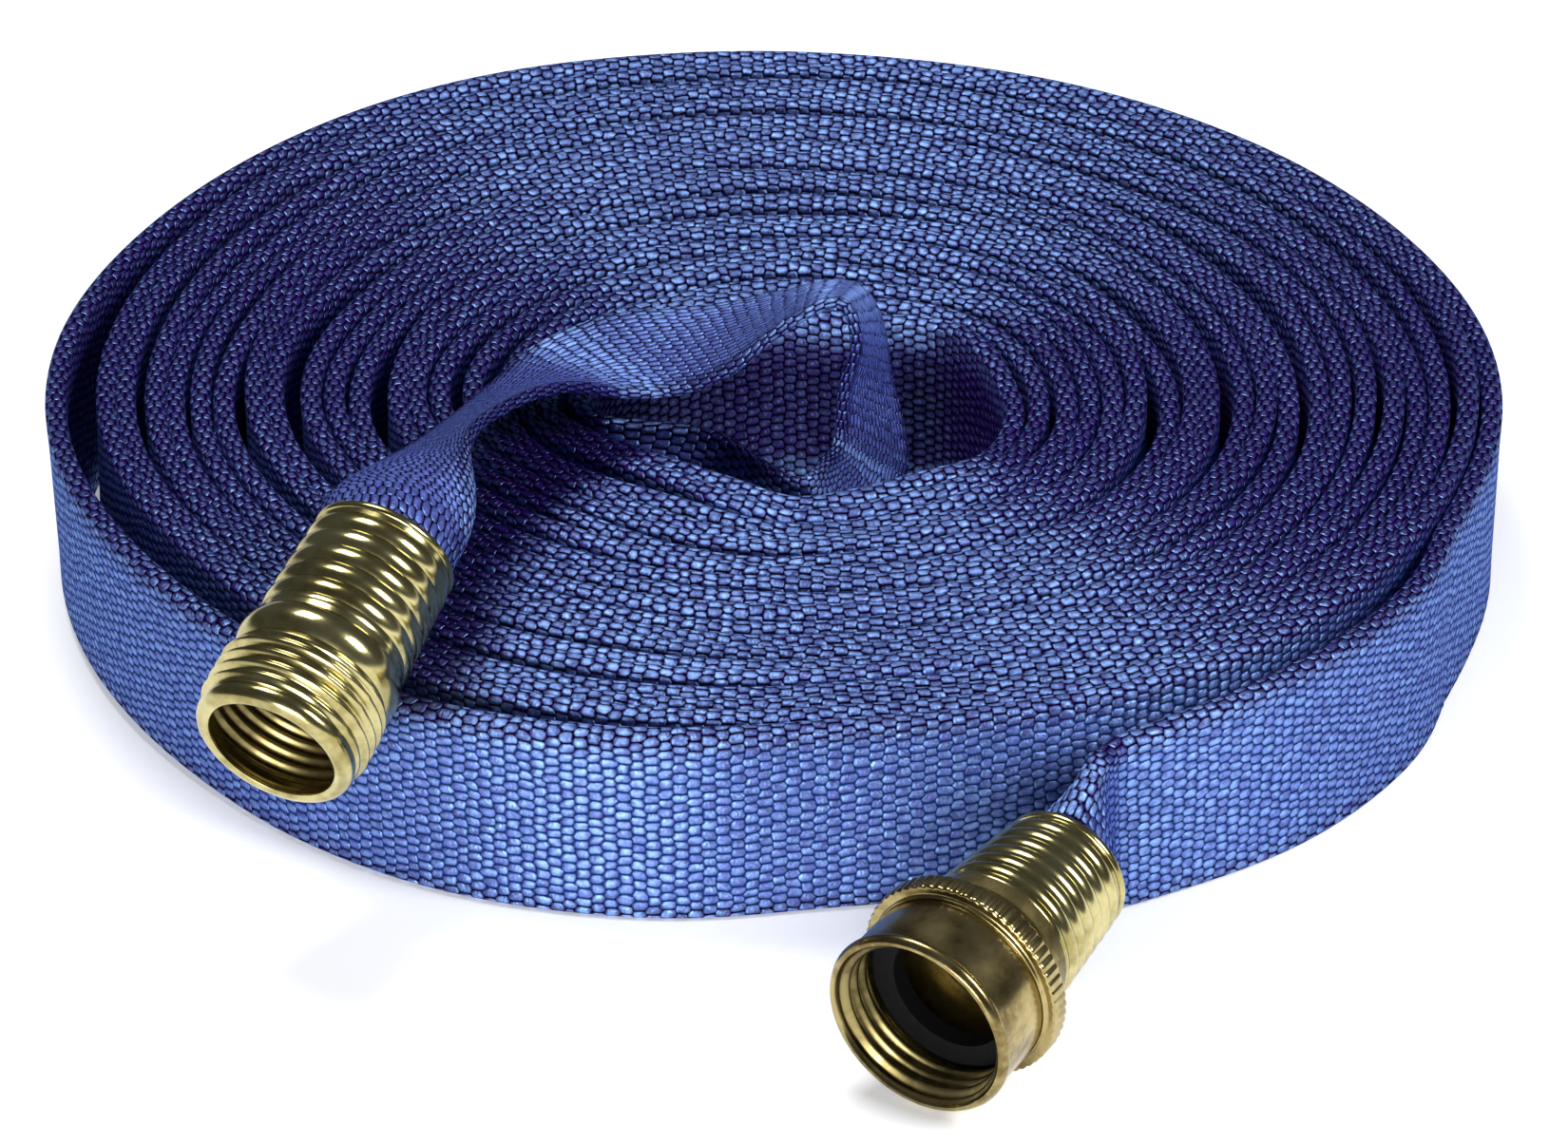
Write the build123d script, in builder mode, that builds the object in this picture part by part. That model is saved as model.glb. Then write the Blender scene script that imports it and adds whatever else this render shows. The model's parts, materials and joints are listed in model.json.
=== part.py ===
from build123d import *
import os
from math import cos, radians, sin

# Rolled lay-flat fire hose with a brass garden-thread coupling on each end.
# Millimetres, +Z up. The origin is on the floor, in the middle of the object's footprint, and both
# couplings point towards -Y.

os.makedirs("parts", exist_ok=True)

# --- Hose ---------------------------------------------------------------------------------------
hose_width = 33.0  # lay-flat width, and so the height of the roll, which stands on the hose's edge
hose_thickness = 3.4  # two walls pressed together
jacket_wall = 1.1
liner_wall = 0.9
liner_inset = jacket_wall + 0.05  # from the jacket's outside to the liner's
flat_half = (hose_width / 2 - 0.1, hose_thickness / 2)  # the free ends stay just off the floor

# --- Roll: the outer outline is slightly uneven, the hole sits towards the front ------------------
roll_centre = (1.6, 26.6)
outline_step = 30.0  # degrees between the radii below, from +X towards +Y
outline_radii = [118.0, 117.5, 119.3, 122.0, 123.2, 121.6, 121.2, 121.2, 122.4, 117.5, 116.5, 117.5]
hole_centre = (3.1, 13.6)
hole_half_x = 34.5
hole_half_y = 27.5

# --- Couplings: lengths run along the axis from the end that the hose enters -----------------------
ferrule_length = 20.0
rib_count = 5
rib_start = 2.0
rib_pitch = 3.3
rib_height = 0.5
ferrule_bore_rear = 9.6
ferrule_bore_front = 11.2
ferrule_wall = 0.6
ring_wall = 0.6
ring_length = 22.3
gasket_length = 1.5
web_thickness = 1.0
waterway_radius = 9.3  # hole through the web, round the expansion ring

thread_pitch = 2.209  # 11.5 threads to the inch
male_length = 40.0
male_crest_radius = 13.45
male_root_radius = 12.3
male_crest_count = 4
male_thread_start = 26.9
crest_flat = 0.5
root_flat = 0.4

female_length = 42.0
female_crest_radius = 12.35
female_root_radius = 13.55
female_crest_count = 4
female_thread_start = 32.9
neck_radius = 11.4
neck_clearance = 0.08
tail_flange_radius = 12.9
nut_radius = 14.4
nut_rim_radius = 14.9
knurl_radius = 16.2
knurl_start = 26.6
knurl_length = 3.3
knurl_groove_count = 48
knurl_groove_radius = 0.45
nut_cavity_radius = 13.2
washer_bore_radius = 9.4
washer_radius = 13.1
washer_length = 3.0
washer_start = 29.75

# --- Where the couplings lie: centre of the mouth, and the way it points ---------------------------
male_mouth = (-73.9, -100.8, 36.3)
male_heading = 24.4  # degrees from -Y towards -X
male_dip = 21.2  # degrees below level
female_mouth = (20.0, -140.7, 14.95)
female_heading = 33.0
female_dip = 5.5


def pointing(heading, dip):
    """The unit vector of a coupling's axis, towards its mouth."""
    level = cos(radians(dip))
    return Vector(-sin(radians(heading)) * level, -cos(radians(heading)) * level, -sin(radians(dip)))


def coupling_frame(mouth, heading, dip, length):
    """The plane at the hose end of a coupling: its z is the axis and its y leans upwards."""
    axis = pointing(heading, dip)
    side = axis.cross(Vector(0, 0, 1)).normalized()
    return Plane(origin=Vector(*mouth) - axis * length, x_dir=side, z_dir=axis)


def half_section(frame):
    """The plane that a coupling's profiles are drawn on: x is the radius and y runs to the mouth."""
    return Plane(origin=frame.origin, x_dir=frame.x_dir, z_dir=frame.x_dir.cross(frame.z_dir))


def station_planes(route, last_normal):
    """One plane per station of a flat hose: x lies along its width, z runs along the hose."""
    planes = []
    for i, (place, width_way) in enumerate(route):
        before = Vector(*route[max(i - 1, 0)][0])
        after = Vector(*route[min(i + 1, len(route) - 1)][0])
        along = (after - before).normalized()
        if i == len(route) - 1:
            along = last_normal
        across = Vector(*width_way)
        across = (across - along * across.dot(along)).normalized()
        planes.append(Plane(origin=place, x_dir=across, z_dir=along))
    return planes


def route_length(route):
    """The hose's length through its stations."""
    places = [Vector(*place) for place, width_way in route]
    return sum((b - a).length for a, b in zip(places, places[1:]))


def thread_profile(start, count, root, crest):
    """(radius, distance) points of ring-shaped thread ridges, from root to crest and back."""
    points = []
    flank = (thread_pitch - crest_flat - root_flat) / 2
    for i in range(count):
        y = start + i * thread_pitch
        points += [(root, y), (crest, y + flank), (crest, y + flank + crest_flat)]
        points += [(root, y + 2 * flank + crest_flat)]
    return points


def layer_points(outer, inner):
    """The half profile of one conical layer inside a ferrule, from its (rear, front) radii."""
    return [(inner[0], 0), (outer[0], 0), (outer[1], ferrule_length), (inner[1], ferrule_length)]


def cone_radius(rear, front, distance):
    """The radius of a layer that widens from the hose end of the ferrule to its front."""
    return rear + (front - rear) * distance / ferrule_length


male_frame = coupling_frame(male_mouth, male_heading, male_dip, male_length)
male_section = half_section(male_frame)
male_axis = Axis(male_frame.origin, male_frame.z_dir)
female_frame = coupling_frame(female_mouth, female_heading, female_dip, female_length)
female_section = half_section(female_frame)
female_axis = Axis(female_frame.origin, female_frame.z_dir)

# Layers inside a ferrule, as (rear, front) outer radii: jacket, liner, expansion ring.
jacket_outer = (ferrule_bore_rear, ferrule_bore_front)
liner_outer = (ferrule_bore_rear - jacket_wall, ferrule_bore_front - jacket_wall)
ring_outer = (liner_outer[0] - liner_wall, liner_outer[1] - liner_wall)
ring_inner = (ring_outer[0] - ring_wall, ring_outer[1] - ring_wall)
gasket_end = ferrule_length + gasket_length
web_end = gasket_end + web_thickness
skirt_radius = ferrule_bore_front + 0.8

# --- Free ends of the hose: (middle of the hose, direction of its width) at each station -----------
# The inner end leaves the innermost turn, rises through the hole, folds over and crosses the turns.
inner_tail_route = [
    ((-36.4, 15.6, 16.5), (0, 0, 1)),
    ((-21.4, 5.1, 16.5), (0, 0, 1)),
    ((-8.9, -3.9, 16.8), (0, 0, 1)),
    ((2.1, -8.4, 18.5), (-0.2, -0.1, 1)),
    ((10.6, -3.4, 23.0), (-0.25, -0.45, 0.8)),
    ((15.3, 5.1, 31.0), (-0.3, -0.75, 0.55)),
    ((15.1, 10.1, 42.0), (-0.2, -0.85, 0.45)),
    ((10.6, 14.6, 51.0), (-0.05, -0.87, 0.45)),
    ((0.6, 13.1, 50.0), (0, -0.95, 0.3)),
    ((-9.4, 12.6, 45.5), (0, -1, 0.12)),
    ((-20.4, 15.1, 41.5), (0, -1, 0.07)),
    ((-31.4, 16.1, 39.0), (0, -1, 0.12)),
    ((-40.9, 8.1, 42.5), (0.4, -0.75, 0.5)),
    ((-48.4, -7.4, 45.0), (0.65, -0.4, 0.65)),
    ((-54.4, -35.4, 50.5), (0.75, -0.1, 0.6)),
    (tuple(male_frame.origin), (0.8, -0.15, 0.5)),
]
inner_tail_halves = [flat_half] * 13 + [(15.5, 2.4), (13.4, 5.2)]
inner_tail_halves += [(ferrule_bore_rear, ferrule_bore_rear)]

# The outer end peels off the outermost turn at the right and runs forward to the other coupling.
outer_end_route = [
    ((99.1, -36.4, 16.5), (0, 0, 1)),
    ((87.6, -57.9, 16.5), (0, 0, 1)),
    ((73.6, -75.4, 16.5), (0, 0, 1)),
    ((59.6, -87.7, 16.5), (0, 0, 1)),
    ((50.6, -95.7, 17.0), (0, 0, 1)),
    (tuple(female_frame.origin), (0, 0, 1)),
]
outer_end_halves = [flat_half] * 3 + [(16.2, 1.9), (14.0, 4.6)]
outer_end_halves += [(ferrule_bore_rear, ferrule_bore_rear)]

# === The roll: one closed solid of the outer shape of all the turns ================================
with BuildPart() as rolled_hose:
    with BuildSketch():
        with BuildLine():
            Spline(
                [
                    (
                        roll_centre[0] + radius * cos(radians(i * outline_step)),
                        roll_centre[1] + radius * sin(radians(i * outline_step)),
                    )
                    for i, radius in enumerate(outline_radii)
                ],
                periodic=True,
            )
        make_face()
        with Locations(hole_centre):
            Ellipse(hole_half_x, hole_half_y, mode=Mode.SUBTRACT)
    extrude(amount=hose_width)
rolled_hose.part.label = "rolled_hose"

# === The inner end of the hose =====================================================================
# Where the hose lies flat its two walls and the liner between them are pressed into one strip, and
# one solid stands for both. Over the last span the hose opens out, and the two are separate.
inner_planes = station_planes(inner_tail_route, male_frame.z_dir)
inner_mouth = list(zip(inner_planes, inner_tail_halves))[-2:]
with BuildPart() as inner_tail_jacket:
    for plane, halves in zip(inner_planes, inner_tail_halves):
        with BuildSketch(plane):
            Ellipse(*halves)
    loft(ruled=True)
    for plane, (half_width, half_thick) in inner_mouth:
        with BuildSketch(plane):
            Ellipse(half_width - jacket_wall, half_thick - jacket_wall)
    loft(ruled=True, mode=Mode.SUBTRACT)
    with BuildSketch(male_section):
        Polygon(*layer_points(jacket_outer, liner_outer), align=None)
    revolve(axis=male_axis)
inner_tail_jacket.part.label = "inner_tail_jacket"

with BuildPart() as inner_tail_liner:
    for plane, (half_width, half_thick) in inner_mouth:
        with BuildSketch(plane):
            Ellipse(half_width - liner_inset, half_thick - liner_inset)
    loft(ruled=True)
    for plane, (half_width, half_thick) in inner_mouth:
        with BuildSketch(plane):
            Ellipse(half_width - liner_inset - liner_wall, half_thick - liner_inset - liner_wall)
    loft(ruled=True, mode=Mode.SUBTRACT)
    with BuildSketch(male_section):
        Polygon(*layer_points(liner_outer, ring_outer), align=None)
    revolve(axis=male_axis)
inner_tail_liner.part.label = "inner_tail_liner"

# === The outer end of the hose =====================================================================
outer_planes = station_planes(outer_end_route, female_frame.z_dir)
outer_mouth = list(zip(outer_planes, outer_end_halves))[-2:]
with BuildPart() as outer_end_jacket:
    for plane, halves in zip(outer_planes, outer_end_halves):
        with BuildSketch(plane):
            Ellipse(*halves)
    loft(ruled=True)
    for plane, (half_width, half_thick) in outer_mouth:
        with BuildSketch(plane):
            Ellipse(half_width - jacket_wall, half_thick - jacket_wall)
    loft(ruled=True, mode=Mode.SUBTRACT)
    with BuildSketch(female_section):
        Polygon(*layer_points(jacket_outer, liner_outer), align=None)
    revolve(axis=female_axis)
outer_end_jacket.part.label = "outer_end_jacket"

with BuildPart() as outer_end_liner:
    for plane, (half_width, half_thick) in outer_mouth:
        with BuildSketch(plane):
            Ellipse(half_width - liner_inset, half_thick - liner_inset)
    loft(ruled=True)
    for plane, (half_width, half_thick) in outer_mouth:
        with BuildSketch(plane):
            Ellipse(half_width - liner_inset - liner_wall, half_thick - liner_inset - liner_wall)
    loft(ruled=True, mode=Mode.SUBTRACT)
    with BuildSketch(female_section):
        Polygon(*layer_points(liner_outer, ring_outer), align=None)
    revolve(axis=female_axis)
outer_end_liner.part.label = "outer_end_liner"


def ferrule_outline():
    """Draws a ferrule's closed half profile: rolled rear lip, ribs, plain front band."""
    rear = ferrule_bore_rear + ferrule_wall
    front = ferrule_bore_front + ferrule_wall

    def groove(distance):
        return cone_radius(rear, front, distance)

    ThreePointArc((groove(0), 0.5), (groove(0) + 0.5, 1.2), (groove(rib_start), rib_start))
    for i in range(rib_count):
        start = rib_start + i * rib_pitch
        middle = start + rib_pitch / 2
        end = start + rib_pitch
        ThreePointArc((groove(start), start), (groove(middle) + rib_height, middle), (groove(end), end))
    ribs_end = rib_start + rib_count * rib_pitch
    Polyline(
        (groove(ribs_end), ribs_end),
        (front, ferrule_length),
        (ferrule_bore_front, ferrule_length),
        (ferrule_bore_rear, 0),
        (groove(0), 0),
        (groove(0), 0.5),
    )


# === Male coupling =================================================================================
with BuildPart() as male_ferrule:
    with BuildSketch(male_section):
        with BuildLine():
            ferrule_outline()
        make_face()
    revolve(axis=male_axis)
male_ferrule.part.label = "male_ferrule"

ring_points = [
    (cone_radius(*ring_inner, 0.6), 0.6),
    (cone_radius(*ring_outer, 0.6), 0.6),
    (ring_outer[1], ferrule_length),
    (ring_outer[1], ring_length),
    (ring_inner[1], ring_length),
    (ring_inner[1], ferrule_length),
]
with BuildPart() as male_expansion_ring:
    with BuildSketch(male_section):
        Polygon(*ring_points, align=None)
    revolve(axis=male_axis)
male_expansion_ring.part.label = "male_expansion_ring"

gasket_points = [
    (waterway_radius, ferrule_length),
    (ferrule_bore_front, ferrule_length),
    (ferrule_bore_front, gasket_end),
    (waterway_radius, gasket_end),
]
with BuildPart() as male_tail_gasket:
    with BuildSketch(male_section):
        Polygon(*gasket_points, align=None)
    revolve(axis=male_axis)
male_tail_gasket.part.label = "male_tail_gasket"

# One pressed shell: skirt over the gasket, bulged collar, rolled thread and turned-in nose.
with BuildPart() as male_thread_end:
    with BuildSketch(male_section):
        with BuildLine():
            collar_end = male_thread_start - 0.4
            ridges = thread_profile(
                male_thread_start, male_crest_count, male_root_radius, male_crest_radius
            )
            thread_end = ridges[-1][1]
            Line((ferrule_bore_front, ferrule_length), (skirt_radius, ferrule_length))
            Line((skirt_radius, ferrule_length), (skirt_radius, gasket_end - 0.5))
            ThreePointArc(
                (skirt_radius, gasket_end - 0.5), (13.1, 23.6), (male_root_radius, collar_end)
            )
            Polyline((male_root_radius, collar_end), *ridges)
            Spline(
                (male_root_radius, thread_end),
                (12.9, 37.2),
                (12.3, 39.0),
                (11.2, male_length - 0.1),
                (10.2, 39.5),
            )
            Polyline(
                (10.2, 39.5),
                (10.4, 38.6),
                (11.5, 37.4),
                (11.5, 27.0),
                (12.0, 24.5),
                (11.8, web_end),
                (waterway_radius, web_end),
                (waterway_radius, gasket_end),
                (ferrule_bore_front, gasket_end),
                (ferrule_bore_front, ferrule_length),
            )
        make_face()
    revolve(axis=male_axis)
male_thread_end.part.label = "male_thread_end"

# === Female coupling ===============================================================================
with BuildPart() as female_ferrule:
    with BuildSketch(female_section):
        with BuildLine():
            ferrule_outline()
        make_face()
    revolve(axis=female_axis)
female_ferrule.part.label = "female_ferrule"

with BuildPart() as female_expansion_ring:
    with BuildSketch(female_section):
        Polygon(*ring_points, align=None)
    revolve(axis=female_axis)
female_expansion_ring.part.label = "female_expansion_ring"

with BuildPart() as female_tail_gasket:
    with BuildSketch(female_section):
        Polygon(*gasket_points, align=None)
    revolve(axis=female_axis)
female_tail_gasket.part.label = "female_tail_gasket"

# The fixed half of the swivel: a necked tube whose front flange keeps the nut on.
flange_start = washer_start - 1.35
flange_end = washer_start - 0.15
with BuildPart() as female_tailpiece:
    with BuildSketch(female_section):
        Polygon(
            (ferrule_bore_front, ferrule_length),
            (skirt_radius, ferrule_length),
            (skirt_radius, web_end),
            (neck_radius, web_end + 0.6),
            (neck_radius, flange_start),
            (tail_flange_radius, flange_start),
            (tail_flange_radius, flange_end),
            (10.2, flange_end),
            (10.2, web_end),
            (waterway_radius, web_end),
            (waterway_radius, gasket_end),
            (ferrule_bore_front, gasket_end),
            align=None,
        )
    revolve(axis=female_axis)
female_tailpiece.part.label = "female_tailpiece"

# The swivel nut: knurled collar, smooth skirt, rim bead, and the thread inside.
nut_web_end = flange_start - 0.3
knurl_end = knurl_start + knurl_length
nut_bore = neck_radius + neck_clearance
with BuildPart() as swivel_nut:
    with BuildSketch(female_section):
        with BuildLine():
            ridges = thread_profile(
                female_thread_start, female_crest_count, female_root_radius, female_crest_radius
            )
            Polyline(
                (nut_bore, knurl_start),
                (knurl_radius - 0.4, knurl_start),
                (knurl_radius, knurl_start + 0.4),
                (knurl_radius, knurl_end - 0.4),
                (knurl_radius - 0.4, knurl_end),
                (nut_radius + 0.3, knurl_end),
                (nut_radius, knurl_end + 0.4),
                (nut_radius, 40.2),
            )
            ThreePointArc(
                (nut_radius, 40.2), (nut_rim_radius, 41.3), (nut_radius, female_length)
            )
            Polyline(
                (nut_radius, female_length),
                (female_root_radius + 0.2, female_length),
                *reversed(ridges),
                (nut_cavity_radius, female_thread_start),
                (nut_cavity_radius, nut_web_end),
                (nut_bore, nut_web_end),
                (nut_bore, knurl_start),
            )
        make_face()
    revolve(axis=female_axis)
    knurl_plane = Plane(
        origin=female_frame.origin + female_frame.z_dir * knurl_start,
        x_dir=female_frame.x_dir,
        z_dir=female_frame.z_dir,
    )
    with BuildSketch(knurl_plane):
        with PolarLocations(knurl_radius, knurl_groove_count):
            RegularPolygon(knurl_groove_radius, 4)
    extrude(amount=knurl_length, mode=Mode.SUBTRACT)
swivel_nut.part.label = "swivel_nut"

with BuildPart() as hose_washer:
    with BuildSketch(female_section):
        Polygon(
            (washer_bore_radius, washer_start),
            (washer_radius, washer_start),
            (washer_radius, washer_start + washer_length),
            (washer_bore_radius, washer_start + washer_length),
            align=None,
        )
    revolve(axis=female_axis)
hose_washer.part.label = "hose_washer"

for piece in (
    rolled_hose,
    inner_tail_jacket,
    inner_tail_liner,
    outer_end_jacket,
    outer_end_liner,
    male_ferrule,
    male_expansion_ring,
    male_tail_gasket,
    male_thread_end,
    female_ferrule,
    female_expansion_ring,
    female_tail_gasket,
    female_tailpiece,
    swivel_nut,
    hose_washer,
):
    export_step(piece.part, f"parts/{piece.part.label}.step")

print("inner tail", round(route_length(inner_tail_route), 1), "mm")
print("outer end", round(route_length(outer_end_route), 1), "mm")
print("male rear", male_frame.origin, "axis", male_frame.z_dir)
print("female rear", female_frame.origin, "axis", female_frame.z_dir)
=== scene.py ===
import json
from math import cos, pi, radians, sin

import bpy
import numpy as np
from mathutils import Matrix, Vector


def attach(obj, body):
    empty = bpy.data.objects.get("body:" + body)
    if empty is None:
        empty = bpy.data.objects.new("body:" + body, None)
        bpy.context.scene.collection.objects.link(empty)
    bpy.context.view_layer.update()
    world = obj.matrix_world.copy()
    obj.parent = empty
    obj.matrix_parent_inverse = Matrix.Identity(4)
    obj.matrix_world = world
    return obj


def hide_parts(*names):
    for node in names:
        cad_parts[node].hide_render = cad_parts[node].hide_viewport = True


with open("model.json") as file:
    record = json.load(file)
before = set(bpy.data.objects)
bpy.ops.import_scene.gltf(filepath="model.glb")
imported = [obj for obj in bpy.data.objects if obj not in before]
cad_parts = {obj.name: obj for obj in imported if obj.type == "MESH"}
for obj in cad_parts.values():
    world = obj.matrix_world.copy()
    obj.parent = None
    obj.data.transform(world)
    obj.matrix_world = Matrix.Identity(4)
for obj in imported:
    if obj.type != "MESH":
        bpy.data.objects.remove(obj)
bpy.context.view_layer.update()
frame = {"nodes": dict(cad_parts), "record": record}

MM = 0.001
UP = np.array((0.0, 0.0, 1.0))

# === Camera: level with the photograph's, looking along +Y and down ================================
CAMERA_TARGET = Vector((1.36, -13.5, 16.35)) * MM
CAMERA_DISTANCE = 0.95
CAMERA_ELEVATION = 30.0
CAMERA_LENS = 135.6
SENSOR_WIDTH = 36.0


def make_camera():
    data = bpy.data.cameras.new("camera")
    data.lens = CAMERA_LENS
    data.sensor_width = SENSOR_WIDTH
    data.clip_start = 0.05
    data.clip_end = 20.0
    camera = bpy.data.objects.new("camera", data)
    bpy.context.scene.collection.objects.link(camera)
    angle = radians(CAMERA_ELEVATION)
    back = Vector((0, -cos(angle), sin(angle)))
    camera.location = CAMERA_TARGET + back * CAMERA_DISTANCE
    camera.rotation_mode = "QUATERNION"
    camera.rotation_quaternion = (-back).to_track_quat("-Z", "Y")
    bpy.context.scene.camera = camera


make_camera()

# === Sizes shared with the frame, in millimetres ===================================================
HOSE_WIDTH = 32.7  # a little under the frame's, so that the edges clear the floor
HOSE_THICKNESS = 3.45
MIDDLE_HEIGHT = 16.5
FERRULE_LENGTH = 20.0
MALE_ROUND = (10.3, 11.2)  # the hose's radius where it goes into the ferrule, and at the ferrule's front
FEMALE_ROUND = (9.2, 11.2)
JACKET_WALL = 1.1
LINER_WALL = 0.5
LINER_GAP = 0.03  # between the jacket and its liner
MALE_LENGTH = 40.0
FEMALE_LENGTH = 42.0


def pointing(heading, dip):
    """The unit vector of a coupling's axis, towards its mouth. heading runs from -Y towards -X."""
    level = cos(radians(dip))
    return np.array((-sin(radians(heading)) * level, -cos(radians(heading)) * level, -sin(radians(dip))))


MALE_AXIS = pointing(24.4, 21.2)
MALE_REAR = np.array((-73.9, -100.8, 36.3)) - MALE_AXIS * MALE_LENGTH
FEMALE_AXIS = pointing(33.0, 5.5)
FEMALE_REAR = np.array((20.0, -140.7, 14.95)) - FEMALE_AXIS * FEMALE_LENGTH


# === Curves ========================================================================================
def unit(vectors):
    """The vectors, each at length 1."""
    return vectors / np.linalg.norm(vectors, axis=-1, keepdims=True)


def arc_lengths(points):
    """The distance along the polyline to each of its points."""
    steps = np.linalg.norm(np.diff(points, axis=0), axis=1)
    return np.concatenate(([0.0], np.cumsum(steps)))


def resample(points, at, *others):
    """The polyline, and whatever else goes with its points, at these arc lengths."""
    lengths = arc_lengths(points)
    resampled = []
    for rows in (points, *others):
        columns = [np.interp(at, lengths, column) for column in rows.T]
        resampled.append(np.stack(columns, axis=1))
    return resampled


def smooth(values, reach):
    """A running average that looks this many values to each side."""
    window = np.hanning(2 * reach + 3)[1:-1]
    return np.convolve(np.pad(values, reach, mode="edge"), window / window.sum(), mode="valid")


def spline_points(points):
    """Points along the smooth NURBS line that has these control points, in millimetres."""
    data = bpy.data.curves.new("route", "CURVE")
    data.dimensions = "3D"
    spline = data.splines.new("NURBS")
    spline.points.add(len(points) - 1)
    for control, place in zip(spline.points, points):
        control.co = (*place, 1.0)
    spline.order_u = 3
    spline.use_endpoint_u = True
    spline.resolution_u = 24
    curve = bpy.data.objects.new("route", data)
    bpy.context.scene.collection.objects.link(curve)
    bpy.context.view_layer.update()
    evaluated = curve.evaluated_get(bpy.context.evaluated_depsgraph_get())
    line = bpy.data.meshes.new_from_object(evaluated)
    places = np.array([vertex.co for vertex in line.vertices])
    bpy.data.objects.remove(curve)
    bpy.data.curves.remove(data)
    bpy.data.meshes.remove(line)
    return places


def hose_route(stations):
    """The middle of the hose and its width's direction along stations of (place, width's direction)."""
    places = np.array([place for place, way in stations], float)
    ways = unit(np.array([way for place, way in stations], float))
    middle = spline_points(places)
    beside = spline_points(places + 10 * ways)
    return middle, beside - middle


# === The free inner end: (middle of the hose, direction of its width) ==============================
ROLL_START = (-32.2, 15.5, MIDDLE_HEIGHT)  # where the innermost turn begins
TAIL_STATIONS = [
    # along the front of the hole, leaning in over it
    (ROLL_START, (0, 0, 1)),
    ((-31.0, 9.0, 16.5), (0, 0, 1)),
    ((-24.0, 6.5, 16.5), (0.15, 0.1, 1)),
    ((-14.5, 3.5, 16.5), (0.3, 0.2, 0.95)),
    ((-7.0, -5.0, 16.5), (0.2, 0.15, 0.95)),
    ((0.0, -12.0, 17.0), (0.05, 0.05, 1)),
    ((6.5, -14.0, 18.0), (-0.1, -0.1, 1)),
    # up at its right
    ((11.5, -5.0, 21.0), (-0.25, -0.4, 0.85)),
    ((15.5, 7.5, 25.0), (-0.35, -0.75, 0.6)),
    ((16.0, 5.5, 31.0), (-0.35, -0.7, 0.6)),
    ((15.0, 7.0, 39.5), (-0.25, -0.8, 0.5)),
    ((15.5, 6.0, 46.0), (-0.15, -0.85, 0.5)),
    ((14.5, 6.5, 52.0), (-0.15, -0.9, 0.45)),
    # over and to the left, across the hole
    ((12.5, 7.0, 56.0), (-0.1, -0.9, 0.4)),
    ((8.5, 6.5, 56.5), (-0.1, -0.95, 0.35)),
    ((-1.5, 7.5, 51.5), (0.05, -0.95, 0.3)),
    ((-10.0, 9.0, 46.5), (0.2, -0.95, 0.15)),
    ((-20.0, 11.5, 43.0), (0.35, -0.95, 0.05)),
    ((-26.5, 12.5, 41.0), (0.4, -0.9, 0.1)),
    # round towards the front, nearly edge on, and out over the turns
    ((-33.0, 10.5, 40.0), (0.45, -0.85, 0.2)),
    ((-37.5, 4.5, 41.5), (0.45, -0.8, 0.38)),
    ((-42.5, -5.5, 44.5), (0.36, -0.8, 0.48)),
    ((-47.5, -16.5, 46.5), (0.27, -0.82, 0.5)),
    ((-52.0, -28.0, 48.5), (0.34, -0.78, 0.54)),
    ((-55.5, -41.0, 50.0), (0.52, -0.77, 0.41)),
    ((-57.5, -55.5, 50.5), (0.75, -0.6, 0.1)),
    (tuple(MALE_REAR), (0.9, -0.25, -0.4)),
    (tuple(MALE_REAR + MALE_AXIS * FERRULE_LENGTH), (0.9, -0.25, -0.4)),
]
TAIL_OPENING = 34.0  # the length over which the hose opens out
TAIL_THINNESS = 0.55  # of the rolled hose's thickness: the free end is empty and pulled flat

# === The roll: polar radii about the middle of the hole, in degrees from +X towards +Y =============
POLE = np.array((3.1, 13.6))
ROLL_CENTRE = np.array((1.6, 26.6))
START_ANGLE = 177.0
END_ANGLE = -23.0
TURNS = 19 + (START_ANGLE - END_ANGLE) / 360
STEPS_PER_TURN = 240
# The inner face of the innermost turn, from its start round to the same place one turn later.
HOLE_OUTLINE = [
    (177, 33.7), (150, 33.6), (125, 31.0), (100, 28.2), (70, 30.0), (47, 36.2), (15, 33.6), (-10, 34.3),
    (-32, 35.0), (-52, 31.5), (-74, 31.2), (-91, 32.8), (-110, 28.4), (-128, 27.0), (-148, 28.8),
    (-165, 33.8), (-176, 38.5), (-183, 39.5),
]
# The outer face of the outermost turn, from its start round to its end, about the roll's centre.
ROLL_OUTLINE = [
    (-23, 114.4), (-45, 116.5), (-60, 116.3), (-75, 115.2), (-87, 114.8), (-98, 118.6), (-109, 120.8),
    (-117, 122.0), (-140, 121.1), (-180, 121.2), (-202, 120.6), (-232, 122.9), (-245, 123.5),
    (-268, 122.0), (-293, 120.0), (-317, 118.0), (-335, 117.3), (-360, 118.0), (-383, 118.0),
]
OUTLINE_SMOOTHING = 6  # steps to each side
CLEARANCE = 0.05  # between the faces of neighbouring turns
STANDOFF = 3.6  # of the outermost turn from the rest, at its widest
STANDOFF_ANGLE = 193.0
WANDER = 1.1  # of a turn, as a share of the room that it has
MOST_FULL = 1.35  # times HOSE_THICKNESS: the most that a turn swells to fill the room beside it


def group_wander(winding, seed, across, around):
    """A smooth wander, mostly between -1 and 1, that neighbouring turns share more or less.

    It is a sum of waves. Each has a whole number of crests to a turn, up to around, and up to
    across more, which set the turns apart.
    """
    random = np.random.default_rng(seed)
    total = np.zeros_like(winding)
    waves = 14
    for _ in range(waves):
        more = random.uniform(0.3 * across, across)
        whole = random.integers(1, around + 1) * random.choice((-1, 1))
        phase = random.uniform(0, 2 * pi)
        total += np.cos(winding * more + winding * whole + phase)
    return total / np.sqrt(waves)


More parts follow.
